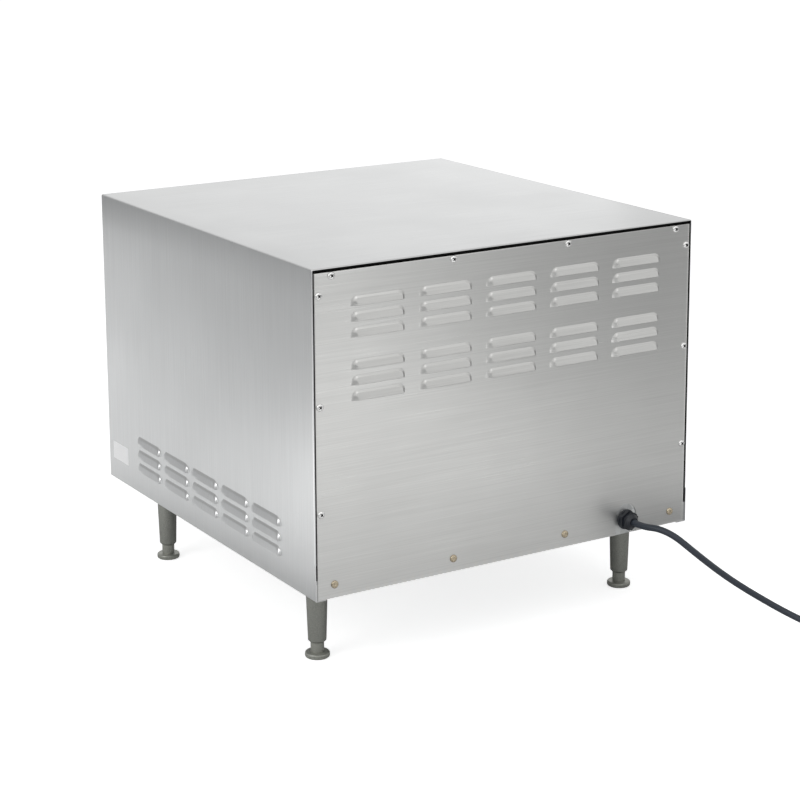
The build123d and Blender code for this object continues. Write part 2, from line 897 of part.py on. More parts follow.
def make_leg(place, x, y):
    stud_top = tray_floor + stud_length
    with BuildPart() as leg:
        with BuildSketch(Plane((x, y, 0), x_dir=(1, 0, 0), z_dir=(0, -1, 0))):
            with BuildLine():
                Polyline(
                    (0, leg_end_height),
                    (leg_end_radius - leg_chamfer, leg_end_height),
                    (leg_end_radius, leg_end_height + leg_chamfer),
                    (leg_top_radius, tray_floor),
                    (stud_radius, tray_floor),
                    (stud_radius, stud_top),
                    (0, stud_top),
                    close=True,
                )
            make_face()
        revolve(axis=Axis((x, y, 0), (0, 0, 1)))
        with BuildSketch(Plane.XY.offset(leg_end_height)):
            with Locations((x, y)):
                Circle(foot_neck_radius + foot_play)
        extrude(amount=foot_neck_length, mode=Mode.SUBTRACT)
    save(leg, f"{place}_leg")


def make_foot(place, x, y):
    with BuildPart() as foot:
        with BuildSketch():
            with Locations((x, y)):
                Circle(foot_radius)
        extrude(amount=foot_flange)
        fillet(foot.edges().filter_by(GeomType.CIRCLE), foot_edge)
        with BuildSketch(Plane.XY.offset(foot_flange)):
            with Locations((x, y)):
                Circle(foot_neck_radius)
        extrude(amount=foot_neck_length)
    save(foot, f"{place}_foot")


def make_leg_nuts():
    with BuildPart() as nuts:
        with BuildSketch(Plane.XY.offset(tray_floor + tray_sheet)):
            with Locations(*leg_places().values()):
                RegularPolygon(nut_flats / 2, 6, major_radius=False)
                Circle(stud_radius + running_gap, mode=Mode.SUBTRACT)
        extrude(amount=nut_height)
    save(nuts, "leg_nuts")


# Cord gland


def gland_axis():
    return gland_x, base_z + gland_height


def gland_round(y, radius, length, mode=Mode.ADD, taper=0):
    x, z = gland_axis()
    with BuildSketch(rear_plane(y)) as section:
        with Locations((-x, z)):
            Circle(radius)
    extrude(section.sketch, amount=length, mode=mode, taper=taper)


def gland_hexagon(y, flats, length):
    x, z = gland_axis()
    with BuildSketch(rear_plane(y)) as section:
        with Locations((-x, z)):
            RegularPolygon(flats / 2, 6, major_radius=False, rotation=30)
    extrude(section.sketch, amount=length)


def make_gland():
    half = gland_plate_width / 2
    plate_front = flange_y - gland_plate_sheet
    floor = tray_floor + tray_sheet
    with BuildPart() as plate:
        ceiling = floor + gland_plate_height
        box_between((gland_x - half, plate_front, floor), (gland_x + half, flange_y, ceiling))
        gland_round(plate_front, gland_thread_radius + running_gap, gland_plate_sheet, Mode.SUBTRACT)
    save(plate, "gland_plate")
    with BuildPart() as body:
        gland_round(flange_y, gland_ring_radius, gland_ring)
        fillet(body.faces().sort_by(Axis.Y)[-1].edges(), gland_ring / 3)
        gland_hexagon(flange_y + gland_ring, gland_hex_flats, gland_hex)
        gland_round(flange_y - gland_thread, gland_thread_radius, gland_thread)
    save(body, "gland_body")
    with BuildPart() as locknut:
        gland_hexagon(plate_front - gland_locknut, gland_locknut_flats, gland_locknut)
        nut_back = plate_front - gland_locknut
        gland_round(nut_back, gland_thread_radius + running_gap, gland_locknut, Mode.SUBTRACT)
    save(locknut, "gland_locknut")
    cap_y = flange_y + gland_ring + gland_hex
    lean = (gland_cap_flats / 2 - gland_cap_mouth) / (gland_cap / 2)
    with BuildPart() as cap:
        gland_hexagon(cap_y, gland_cap_flats, gland_cap / 2)
        gland_round(cap_y + gland_cap / 2, gland_cap_flats / 2, gland_cap / 2, taper=45 * lean)
    save(cap, "gland_cap")


# Cord, coil and plug


def tube_along(path, start, direction):
    with BuildPart() as tube:
        with BuildSketch(Plane(start, z_dir=direction)):
            Circle(cord_radius)
        sweep(path=path)
    return tube


def bend_radii(points):
    radii = []
    for a, b, c in zip(points, points[1:], points[2:]):
        first = b - a
        second = c - b
        half_turn = radians(first.get_angle(second)) / 2
        radii.append(cord_run_share * min(first.length, second.length) / tan(half_turn))
    return radii


def make_power_cord():
    x, z = gland_axis()
    mouth = Vector(x, rear_y + gland_reach, z)
    points = [mouth] + [Vector(gland_x + px, rear_y + py, base_z + pz) for px, py, pz in cord_route]
    radii = bend_radii(points)
    with BuildLine() as path:
        FilletPolyline(*points, radius=radii)
    route = path.wire()
    tube = tube_along(route, mouth, points[1] - mouth)
    expected = pi * cord_radius**2 * route.length
    print("cord radii", [round(r) for r in radii], "length", round(route.length, 1))
    print("cord volume over section times length", round(tube.part.volume / expected, 4))
    save(tube, "power_cord")
    return points[-1], (points[-1] - points[-2]).normalized(), route.length


def half_turn_arc(start, heading, radius, rise):
    across = Vector(-heading.Y, heading.X, 0) * (2 * radius)
    end = start + across + Vector(0, 0, rise)
    middle = (start + end) / 2 + heading * ((end - start).length / 2)
    return ThreePointArc(start, middle, end), end


def make_cord_coil(start, heading):
    first_heading = heading
    radii = [coil_outer_radius - i * coil_step for i in range(half_turns_per_layer)]
    turns = [(r, 0) for r in radii] + [(radii[-1] - coil_step, coil_layer)] + [(r, 0) for r in radii[::-1]]
    with BuildLine() as path:
        here = start + heading * coil_start
        Line(start, here)
        for radius, rise in turns:
            arc, here = half_turn_arc(here, heading, radius, rise)
            heading = -heading
        Line(here, here + heading * coil_end)
    route = path.wire()
    tube = tube_along(route, start, first_heading)
    print("coil length", round(route.length, 1), "least gap", round(least_gap(route), 2))
    save(tube, "cord_coil")
    return here + heading * coil_end, heading, route.length


def least_gap(line):
    count = 500
    points = [line.position_at(i / count) for i in range(count + 1)]
    step = line.length / count
    skip = int(6 * cord_radius / step)
    least = 1e9
    for i, p in enumerate(points):
        for q in points[i + skip :]:
            least = min(least, (p - q).length)
    return least - 2 * cord_radius


def make_plug(start, heading):
    side = Vector(-heading.Y, heading.X, 0)
    body_start = start + heading * relief_length
    height = 2 * start.Z
    with BuildPart() as body:
        with BuildSketch(Plane(start, x_dir=side, z_dir=heading)):
            Circle(relief_radius * 0.7)
        with BuildSketch(Plane(body_start, x_dir=side, z_dir=heading)):
            Circle(relief_radius)
        loft()
        with BuildSketch(Plane(body_start, x_dir=side, z_dir=heading)):
            RectangleRounded(plug_width, height, plug_edge)
        extrude(amount=plug_length)
        fillet(body.faces().sort_by(Axis(start, heading))[-1].edges(), plug_end_edge)
    save(body, "plug_body")
    tip = body_start + heading * plug_length
    with BuildPart() as pins:
        with BuildSketch(Plane(tip, x_dir=side, z_dir=heading)):
            pair = pin_pitch / 2
            with Locations((-pair, -pin_pitch / 5), (pair, -pin_pitch / 5), (0, pin_pitch / 3)):
                Circle(plug_pin_radius)
        extrude(amount=plug_pin_length)
    save(pins, "plug_pins")


def main():
    os.makedirs("parts", exist_ok=True)
    hood, hollow = louvre_tools()
    make_casing_wrap(hood, hollow)
    make_back_panel(hood, hollow)
    upper, lower = screw_places()
    make_screws("back_panel_screws", upper, rear_screw_radius, rear_screw_head)
    make_screws("base_screws", lower, base_screw_radius, base_screw_head)
    make_base_tray()
    make_compartment_shelf()
    make_front_frame()
    make_control_panel()
    for deck in (0, 1):
        make_chamber_liner(deck)
        make_insulation(deck)
        make_deck_stone(deck)
        make_element(deck, "bottom", element_offset)
        make_element(deck, "top", chamber_height - element_offset)
        make_door_skin(deck)
        make_door_liner(deck)
        make_door_insulation(deck)
        make_door_panes(deck)
        make_door_handle(deck)
    make_thermostat_bulbs()
    make_door_springs()
    make_hinge_brackets()
    make_hinge_pins()
    for name, x in knob_places.items():
        make_knob(name, x)
    for name, x in rocker_places.items():
        make_rocker(name, x)
    make_rocker_housings()
    make_pilot_lights()
    make_regulators("thermostats", thermostat_size, "thermostat")
    make_regulators("timers", timer_size, "timer")
    make_terminal_block()
    for place, (x, y) in leg_places().items():
        make_leg(place, x, y)
        make_foot(place, x, y)
    make_leg_nuts()
    make_gland()
    end, heading, cord_length = make_power_cord()
    end, heading, coil_length = make_cord_coil(end, heading)
    make_plug(end, heading)
    print("whole cord", round(cord_length + coil_length))


main()
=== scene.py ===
import json
import math
import bpy
import numpy as np
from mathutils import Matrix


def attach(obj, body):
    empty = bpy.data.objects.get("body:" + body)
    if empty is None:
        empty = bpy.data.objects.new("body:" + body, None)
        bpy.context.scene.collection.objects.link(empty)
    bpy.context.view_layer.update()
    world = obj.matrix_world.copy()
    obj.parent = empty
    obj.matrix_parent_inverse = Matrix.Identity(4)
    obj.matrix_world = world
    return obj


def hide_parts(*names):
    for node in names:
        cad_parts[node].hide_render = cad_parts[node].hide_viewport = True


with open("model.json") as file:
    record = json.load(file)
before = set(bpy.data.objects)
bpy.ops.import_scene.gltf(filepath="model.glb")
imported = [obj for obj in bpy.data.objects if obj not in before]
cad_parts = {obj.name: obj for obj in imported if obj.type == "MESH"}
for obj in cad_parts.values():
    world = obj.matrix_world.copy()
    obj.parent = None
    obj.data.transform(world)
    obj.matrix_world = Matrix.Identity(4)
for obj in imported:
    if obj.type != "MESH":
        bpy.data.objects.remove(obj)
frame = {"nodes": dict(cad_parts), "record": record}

scene = bpy.context.scene
nodes = frame["nodes"]
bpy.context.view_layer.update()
print("frame loaded:", len(nodes), "nodes")


def toLinear(hexColour):  # an sRGB hex colour, made linear
    parts = [int(hexColour[i:i + 2], 16) / 255 for i in (1, 3, 5)]
    return [c / 12.92 if c <= 0.04045 else ((c + 0.055) / 1.055) ** 2.4 for c in parts] + [1.0]


def addNode(tree, kind, sockets={}, output=0, **settings):
    # one node with its settings and its sockets' values or links, and back comes the output that goes on
    node = tree.nodes.new(kind)
    for name, value in settings.items():
        setattr(node, name, value)
    for name, value in sockets.items():
        if isinstance(value, bpy.types.NodeSocket):
            tree.links.new(value, node.inputs[name])
        else:
            node.inputs[name].default_value = value
    return node.outputs[output] if len(node.outputs) else None


def startMaterial(name):  # an empty tree, and the object's own coordinates
    material = bpy.data.materials.new(name)
    material.use_nodes = True
    material.node_tree.nodes.clear()
    return material, material.node_tree, addNode(material.node_tree, "ShaderNodeTexCoord", output="Object")


def endMaterial(tree, sockets):
    shader = addNode(tree, "ShaderNodeBsdfPrincipled", sockets)
    addNode(tree, "ShaderNodeOutputMaterial", {"Surface": shader})


brushed = {"lineSpacing": 0.0009, "lineLength": 0.15, "cloud": 0.16, "low": 0.45, "high": 1.05, "glossSpread": 0.03,
           "depth": 0.000006}
grainBand = {"From Min": 0.3, "From Max": 0.7}  # the part of a noise's range that carries its detail


def blend(tree, share, dark, light):  # from one colour to another by a share of 0 to 1
    return addNode(tree, "ShaderNodeMix", {0: share, 6: dark, 7: light}, 2, data_type="RGBA")


def brushedSteel(name, dark, light, across, roughness=0.3):
    # stainless sheet, belt brushed: fine parallel lines that blur each reflection, and faint cloudy handling marks
    # real lines are 0.1 mm apart, and are drawn coarser here so that they show; across is the axis that cuts them
    material, tree, coords = startMaterial(name)
    scale = [1 / brushed["lineLength"]] * 3
    scale["xyz".index(across)] = 1 / brushed["lineSpacing"]
    stretched = addNode(tree, "ShaderNodeMapping", {"Vector": coords, "Scale": scale})
    lines = addNode(tree, "ShaderNodeTexNoise", {"Vector": stretched, "Scale": 1.0, "Detail": 3.0})
    clouds = addNode(tree, "ShaderNodeTexNoise", {"Vector": coords, "Scale": 1 / brushed["cloud"], "Detail": 3.0})
    both = addNode(tree, "ShaderNodeMath", {0: clouds, 1: 0.5, 2: lines}, operation="MULTIPLY_ADD")
    band = {"Value": both, "From Min": brushed["low"], "From Max": brushed["high"]}
    tint = blend(tree, addNode(tree, "ShaderNodeMapRange", band), toLinear(dark), toLinear(light))
    rough = addNode(tree, "ShaderNodeMapRange", {**band, "To Min": roughness + brushed["glossSpread"],
                                                 "To Max": roughness - brushed["glossSpread"]})
    bump = addNode(tree, "ShaderNodeBump", {"Height": lines, "Distance": brushed["depth"], "Strength": 0.5})
    endMaterial(tree, {"Base Color": tint, "Metallic": 1.0, "Roughness": rough, "Normal": bump})
    return material


def fineGrain(name, dark, light, metal, roughness, grainSize, depth, glossSpread=0.06):
    # a cast, plated, painted or moulded skin: one grain of a real size in metres moves colour, gloss and height
    material, tree, coords = startMaterial(name)
    grain = addNode(tree, "ShaderNodeTexNoise", {"Vector": coords, "Scale": 1 / grainSize, "Detail": 5.0})
    share = addNode(tree, "ShaderNodeMapRange", {"Value": grain, **grainBand})
    tint = blend(tree, share, toLinear(dark), toLinear(light))
    rough = addNode(tree, "ShaderNodeMapRange", {"Value": grain, **grainBand, "To Min": roughness - glossSpread,
                                                 "To Max": roughness + glossSpread})
    bump = addNode(tree, "ShaderNodeBump", {"Height": grain, "Distance": depth, "Strength": 0.7})
    endMaterial(tree, {"Base Color": tint, "Metallic": metal, "Roughness": rough, "Normal": bump})
    return material


def spangledZinc(name, dark, light):
    # hot-dip galvanised sheet: zinc crystals about 9 mm across, each a slightly different grey and gloss
    material, tree, coords = startMaterial(name)
    crystal = 0.009
    cells = addNode(tree, "ShaderNodeTexVoronoi", {"Vector": coords, "Scale": 1 / crystal}, "Color")
    tone = addNode(tree, "ShaderNodeSeparateColor", {"Color": cells})
    tint = blend(tree, tone, toLinear(dark), toLinear(light))
    rough = addNode(tree, "ShaderNodeMapRange", {"Value": tone, "To Min": 0.35, "To Max": 0.5})
    endMaterial(tree, {"Base Color": tint, "Metallic": 1.0, "Roughness": rough})
    return material


def mattedWool(name, dark, light):
    # mineral wool slab: pale ochre fibres that lie in loose layers, so it is streaked and never glossy
    material, tree, coords = startMaterial(name)
    streak, layer = 0.012, 0.0015
    stretched = addNode(tree, "ShaderNodeMapping", {"Vector": coords, "Scale": [1 / streak, 1 / streak, 1 / layer]})
    fibres = addNode(tree, "ShaderNodeTexNoise", {"Vector": stretched, "Scale": 1.0, "Detail": 6.0,
                                                  "Distortion": 0.6})
    share = addNode(tree, "ShaderNodeMapRange", {"Value": fibres, **grainBand})
    tint = blend(tree, share, toLinear(dark), toLinear(light))
    bump = addNode(tree, "ShaderNodeBump", {"Height": fibres, "Distance": 0.001, "Strength": 0.9})
    endMaterial(tree, {"Base Color": tint, "Roughness": 0.95, "Normal": bump, "Sheen Weight": 0.2})
    return material


def firedStone(name, dark, light, speck):
    # pressed and fired cordierite: chalky buff body with darker grog specks 2 to 3 mm across
    material, tree, coords = startMaterial(name)
    mottle, grogSpacing = 0.02, 0.006
    body = addNode(tree, "ShaderNodeTexNoise", {"Vector": coords, "Scale": 1 / mottle, "Detail": 6.0})
    share = addNode(tree, "ShaderNodeMapRange", {"Value": body, **grainBand})
    ground = blend(tree, share, toLinear(dark), toLinear(light))
    grog = addNode(tree, "ShaderNodeTexVoronoi", {"Vector": coords, "Scale": 1 / grogSpacing}, "Distance")
    specks = addNode(tree, "ShaderNodeMapRange", {"Value": grog, "From Min": 0.12, "From Max": 0.2,
                                                  "To Min": 0.6, "To Max": 0.0})
    tint = blend(tree, specks, ground, toLinear(speck))
    bump = addNode(tree, "ShaderNodeBump", {"Height": body, "Distance": 0.0002, "Strength": 0.7})
    endMaterial(tree, {"Base Color": tint, "Roughness": 0.88, "Normal": bump})
    return material


def clearGlass(name):
    # toughened soda-lime glass, faintly green, both faces polished, with a trace of oven haze
    material, tree, coords = startMaterial(name)
    smear = 0.05
    haze = addNode(tree, "ShaderNodeTexNoise", {"Vector": coords, "Scale": 1 / smear, "Detail": 4.0})
    rough = addNode(tree, "ShaderNodeMapRange", {"Value": haze, "From Min": 0.4, "From Max": 0.8,
                                                 "To Min": 0.02, "To Max": 0.08})
    endMaterial(tree, {"Base Color": toLinear("#dfe9e6"), "Roughness": rough, "IOR": 1.52,
                       "Transmission Weight": 0.9})
    return material


finishes = {
    "casing_steel": brushedSteel("satinStainlessWrap", "#c4c5c5", "#d0d1d1", "y"),
    "panel_steel": brushedSteel("brushedStainlessPanel", "#bfbfbd", "#cdcdcb", "z"),
    "front_steel": brushedSteel("brushedStainlessFront", "#bdbdbb", "#cfcfcd", "z", 0.28),
    "bright_screw": fineGrain("brightStainlessScrew", "#d6d6d5", "#f2f2f1", 1.0, 0.16, 0.0015, 0.00001),
    # near-black finish that stands in for shadow: painted shade inside the rear screws' cross recesses and inside the
    # hem's deep groove
    "recess": fineGrain("paintedShadeRecess", "#141415", "#2c2b2a", 0.6, 0.6, 0.0005, 0.00001),
    "brassy_screw": fineGrain("tarnishedZincScrew", "#948a77", "#cfc2aa", 1.0, 0.24, 0.0012, 0.00002),
    "galvanised": spangledZinc("galvanisedSheet", "#b0b2b2", "#d0d1d0"),
    "chamber_steel": fineGrain("aluminisedSheet", "#8e8c88", "#aeaca8", 1.0, 0.42, 0.012, 0.00001),
    "mineral_wool": mattedWool("mineralWool", "#b7a579", "#dccfa6"),
    "deck_stone": firedStone("pressedCordierite", "#b8a27c", "#d6c5a2", "#8d7450"),
    "element": fineGrain("oxidisedElementSheath", "#2a2624", "#4a4441", 0.8, 0.55, 0.004, 0.00003),
    "glass": clearGlass("toughenedGlass"),
    "handle": fineGrain("phenolicHandle", "#0d0d0e", "#1c1c1e", 0.0, 0.38, 0.0012, 0.00003),
    "spring": fineGrain("springSteel", "#5c5c5b", "#8a8a88", 1.0, 0.35, 0.002, 0.00001),
    "hinge": fineGrain("zincPlatedHinge", "#9b9c9b", "#c2c3c1", 1.0, 0.36, 0.003, 0.00001),
    "knob": fineGrain("phenolicKnob", "#0e0e0f", "#1e1e20", 0.0, 0.36, 0.0012, 0.00003),
    "rocker": fineGrain("redPolycarbonateRocker", "#8c0d0a", "#ab1712", 0.0, 0.25, 0.0012, 0.00001),
    "switch_housing": fineGrain("blackNylonHousing", "#101011", "#1d1d1f", 0.0, 0.5, 0.0008, 0.00003),
    "pilot_lens": fineGrain("amberLens", "#c65a08", "#e57c16", 0.0, 0.18, 0.0015, 0.00001),
    "regulator": fineGrain("zincPlatedCase", "#9a9a97", "#bdbdb9", 1.0, 0.4, 0.004, 0.00001),
    "terminal": fineGrain("steatiteBlock", "#cfccc2", "#e4e1d8", 0.0, 0.35, 0.001, 0.00003),
    "bulb": fineGrain("copperPlatedBulb", "#93583a", "#bb7a55", 1.0, 0.3, 0.002, 0.00001),
    "leg_casting": fineGrain("greyCastLeg", "#858681", "#9c9d96", 0.6, 0.42, 0.0014, 0.00008),
    "foot_casting": fineGrain("greyCastFoot", "#90918a", "#aeafa7", 0.4, 0.36, 0.0014, 0.00006),
    "nut": fineGrain("zincPlatedNut", "#9b9c9b", "#c2c3c1", 1.0, 0.34, 0.002, 0.00001),
    "gland_nylon": fineGrain("blackNylonGland", "#10131a", "#1f242c", 0.0, 0.36, 0.0008, 0.00003),
    "cord_rubber": fineGrain("slateRubberSheath", "#272d36", "#353d48", 0.0, 0.46, 0.0012, 0.00005),
    "plug_pin": fineGrain("turnedBrassPin", "#b59a5c", "#dcc384", 1.0, 0.22, 0.0015, 0.00001),
}
for part in frame["record"]["subparts"]:
    mesh = nodes[part["node"]].data
    mesh.materials.clear()
    mesh.materials.append(finishes[part["material_slot"]])
print("finishes ready:", len(finishes))


near = 1e-7  # metres within which two lines of a grid are one


def gridFaces(rowCount, columnCount, closedRows=False):  # quads between neighbouring grid points
    rows = np.arange(rowCount if closedRows else rowCount - 1)
    r, c = np.meshgrid(rows, np.arange(columnCount - 1), indexing="ij")
    this, following = r * columnCount + c, (r + 1) % rowCount * columnCount + c
    return np.stack([this, this + 1, following + 1, following], axis=-1).reshape(-1, 4)


def weld(points, faces):
    # points at one place become one, faces with a lost side go, and so do points with no face; kept marks the faces
    _, first, back = np.unique(np.round(points, 6), axis=0, return_index=True, return_inverse=True)
    faces = back.ravel()[faces]
    kept = (np.diff(np.sort(faces, axis=1), axis=1) > 0).all(axis=1)
    used, faces = np.unique(faces[kept], return_inverse=True)
    return points[first[used]], faces.reshape(-1, 4), kept


def thicken(points, faces, thickness):
    # a second skin along the averaged normals, joined to the first by a rim on every open edge
    corner = points[faces]
    normal = np.cross(corner[:, 2] - corner[:, 0], corner[:, 3] - corner[:, 1])
    averaged = np.zeros_like(points)
    for k in range(4):
        np.add.at(averaged, faces[:, k], normal)
    averaged /= np.linalg.norm(averaged, axis=1, keepdims=True)
    edges = faces[:, [0, 1, 1, 2, 2, 3, 3, 0]].reshape(-1, 2)
    _, back, counts = np.unique(np.sort(edges, axis=1), axis=0, return_inverse=True, return_counts=True)
    start, end = edges[counts[back.ravel()] == 1].T
    n = len(points)
    rim = np.column_stack([end, start, start + n, end + n])
    return np.vstack([points, points - averaged * thickness]), np.vstack([faces, faces[:, ::-1] + n, rim])


def addPiece(name, points, faces, finish, body="casing", slot=None, smoothBelow=32, ends=()):
    # puts a mesh into the scene on one body; ends are rings of points that close a swept section, a flat face each
    mesh = bpy.data.meshes.new(name)
    mesh.from_pydata(np.asarray(points).tolist(), [], np.asarray(faces).tolist() + [ring.tolist() for ring in ends])
    mesh.polygons.foreach_set("use_smooth", np.ones(len(mesh.polygons), dtype=bool))
    mesh.set_sharp_from_angle(angle=math.radians(smoothBelow))
    mesh.materials.append(finish)
    piece = bpy.data.objects.new(name, mesh)
    scene.collection.objects.link(piece)
    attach(piece, body)
    return piece


louvre = {  # brow and reach are how far the face stands out at its top and near its lip
    "length": 0.088, "height": 0.014, "brow": 0.002, "reach": 0.0045, "shoulder": 0.0032, "corner": 0.011,
    "pitch": 0.0223, "margin": 0.0004, "lip": 0.0009, "lipDrop": 0.0006,
}
casing = {  # foot is the flange turned in under each side, and hemFrom is where the rear hem starts, from the bottom
    "half": 0.330, "front": -0.310, "rear": 0.3835, "bottom": 0.124, "top": 0.601, "sheet": 0.001,
    "bend": 0.0025, "lowBend": 0.0016, "foot": 0.017, "hemFrom": 0.054, "hem": 0.0035, "flange": 0.018,
    "louvreEnds": (0.011, 0.0022), "louvreMiddle": 0.04075, "louvreSpacing": 0.0989, "louvreLip": 0.0825,
}
panel = {  # louvreEnds are the widths of a louvre's slopes at its low and its high end; the lips are from the bottom
    "left": -0.3250, "right": 0.3265, "face": 0.3830, "bottom": 0.1253, "top": 0.5948, "freeRows": (0.22, 0.27, 0.33),
    "louvreEnds": (0.0045, 0.011), "louvreSpacing": 0.1127, "louvreLips": (0.4187, 0.3279),
    "notchMiddle": -0.2145, "notchRadius": 0.0196, "notchCentre": 0.1524, "notchPatch": (-0.2505, -0.1785, 0.190),
    "rim": 0.002, "rimLift": 0.0003,
}
louvresInGroup = 3
groupsAcross = 5
curveSteps = np.array([0, 0.05, 0.12, 0.22, 0.34, 0.48, 0.64, 0.8, 0.93, 1])  # closer together near both ends
slopeSteps = np.array([0.2, 0.4, 2 / 3, 1])
lipSteps = np.array([0, 0.25, 0.5, 0.75])


def louvreLines(centres, lips, ends):  # the grid lines that a louvre's curves need, across it and up it
    half, high, margin = louvre["length"] / 2, louvre["height"], louvre["margin"]
    low, far = [half - np.union1d(louvre["corner"] * curveSteps, end * slopeSteps) for end in ends]
    across = np.concatenate([-low, np.linspace(-low.min(), far.min(), 4), far, [-half - margin, half + margin]])
    face = high - louvre["shoulder"]
    up = np.concatenate([[-margin], louvre["lip"] * lipSteps, np.linspace(louvre["lip"], face, 12),
                         high - louvre["shoulder"] * curveSteps, [high + margin]])
    return (np.asarray(centres)[:, None] + across).ravel(), (np.asarray(lips)[:, None] + up).ravel()


def louvreRise(u, v, hoodSide, centres, lips, ends):
    # how far the sheet is pressed out: t runs from 0 on the rounded outline to 1 at the inner line, over the slope at
    # each end and at the top, and the rise has a soft foot and a crease at the inner line; below the top slope the
    # face leans out from the brow to the full reach near the lip, which is cut free and has its edge rounded over
    rise = np.zeros(np.broadcast(u, v).shape)
    face, corner = louvre["height"] - louvre["shoulder"], louvre["corner"]
    for centre in centres:
        for lip in lips:
            a = np.maximum(np.abs(u - centre) - louvre["length"] / 2 + corner, 0)
            b = np.maximum(v - lip - louvre["height"] + corner, 0)
            out = np.hypot(a, b)
            turn = (b / np.maximum(out, near)) ** 2  # 0 toward an end, 1 toward the top
            end = np.where(u > centre, ends[1], ends[0])
            t = np.clip((corner - out) / (end * (1 - turn) + louvre["shoulder"] * turn), 0, 1)
            shape = 0.5 * t + 0.5 * t * t * (2 - t)
            lean = np.clip((lip + face - v) / face, 0, 1)
            inside = (v > lip + near) | ((np.abs(v - lip) <= near) & hoodSide)
            inside &= v < lip + louvre["height"] + near
            curl = np.clip(1 - (v - lip) / louvre["lip"], 0, 1) ** 2
            reach = louvre["brow"] + (louvre["reach"] - louvre["brow"]) * lean - louvre["lipDrop"] * curl
            rise = np.where(inside, np.maximum(rise, shape * reach), rise)
    return rise


def pressedGrid(columns, rows, centres, lips, ends):
    # a flat grid with a slit under each louvre: a lip's row stands twice, once flat and once pressed out
    columns = np.unique(np.round(columns, 6))
    rows = np.unique(np.round(rows, 6))
    atLip = np.isclose(rows[:, None], np.round(np.asarray(lips), 6)[None, :], atol=near).any(axis=1)
    order = np.repeat(np.arange(len(rows)), np.where(atLip, 2, 1))
    hoodSide = np.concatenate([[False], order[1:] == order[:-1]])
    u, v = np.meshgrid(columns, rows[order])
    rise = louvreRise(u, v, hoodSide[:, None], centres, lips, ends)
    faces = gridFaces(len(order), len(columns))
    slit = np.isclose(v.ravel()[faces[:, 0]], v.ravel()[faces[:, 3]])
    return u, v, rise, faces[~slit]


def groupCentres(spacing, middle=0.0):
    return middle + (np.arange(groupsAcross) - (groupsAcross - 1) / 2) * spacing


def groupLips(top):
    return [top - k * louvre["pitch"] for k in range(louvresInGroup)]


def archPatch(u, v, left, right, ceiling):
    # quads from the rectangle round the notch to the notch's own edge: two straight sides and a half circle
    up = np.unique(v[v <= ceiling + near])
    over = np.unique(u[(u >= left - near) & (u <= right + near)])
    outer = np.vstack([np.column_stack([np.full(len(up), left), up]),
                       np.column_stack([over[1:], np.full(len(over) - 1, ceiling)]),
                       np.column_stack([np.full(len(up) - 1, right), up[-2::-1]])])
    steps = np.concatenate([[0], np.cumsum(np.linalg.norm(np.diff(outer, axis=0), axis=1))])
    radius, straight = panel["notchRadius"], panel["notchCentre"] - panel["bottom"]
    run = steps / steps[-1] * (2 * straight + math.pi * radius)
    turn = np.clip((run - straight) / radius, 0, math.pi)
    fall = np.maximum(straight - run, 0) + np.maximum(run - straight - math.pi * radius, 0)
    inner = np.column_stack([panel["notchMiddle"] - radius * np.cos(turn),
                             panel["notchCentre"] + radius * np.sin(turn) - fall])
    share = np.linspace(0, 1, 6)[:, None, None]
    rings = outer * (1 - share) + inner * share
    return rings.reshape(-1, 2), gridFaces(len(share), len(outer))


def makeBackPanel():
    # a flat louvred sheet, its outer edge turned up a little, with an arch cut out for the cord gland
    centres = groupCentres(panel["louvreSpacing"])
    lips = [casing["bottom"] + z for top in panel["louvreLips"] for z in groupLips(top)]
    across, up = louvreLines(centres, lips, panel["louvreEnds"])
    left, right, ceiling = panel["notchPatch"]
    rimLines = np.linspace(0, panel["rim"], 5)
    columns = np.concatenate([across, np.linspace(left, right, 15), np.linspace(panel["left"], panel["right"], 9),
                              panel["right"] - rimLines, panel["left"] + rimLines])
    rows = np.concatenate([up, np.linspace(panel["bottom"], ceiling, 9), panel["freeRows"],
                           panel["top"] - rimLines, panel["bottom"] + rimLines])
    u, v, rise, faces = pressedGrid(columns, rows, centres, lips, panel["louvreEnds"])
    middleU, middleV = u.ravel()[faces].mean(axis=1), v.ravel()[faces].mean(axis=1)
    faces = faces[~((middleU > left) & (middleU < right) & (middleV < ceiling))]
    flat = np.column_stack([u.ravel(), v.ravel(), rise.ravel()])
    patch, patchFaces = archPatch(u.ravel(), v.ravel(), left, right, ceiling)
    patchFaces = patchFaces + len(flat)
    flat = np.vstack([flat, np.column_stack([patch, np.zeros(len(patch))])])
    edge = np.min([flat[:, 0] - panel["left"], panel["right"] - flat[:, 0], panel["top"] - flat[:, 1],
                   flat[:, 1] - panel["bottom"]], axis=0)
    turned = panel["rimLift"] * np.clip(1 - edge / panel["rim"], 0, 1) ** 2
    points = np.column_stack([flat[:, 0], panel["face"] + flat[:, 2] + turned, flat[:, 1]])
    points, faces, _ = weld(points, np.vstack([faces[:, ::-1], patchFaces]))
    points, faces = thicken(points, faces, casing["sheet"])
    piece = addPiece("backPanelSheet", points, faces, finishes["panel_steel"], slot="panel_steel")
    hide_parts("back_panel")


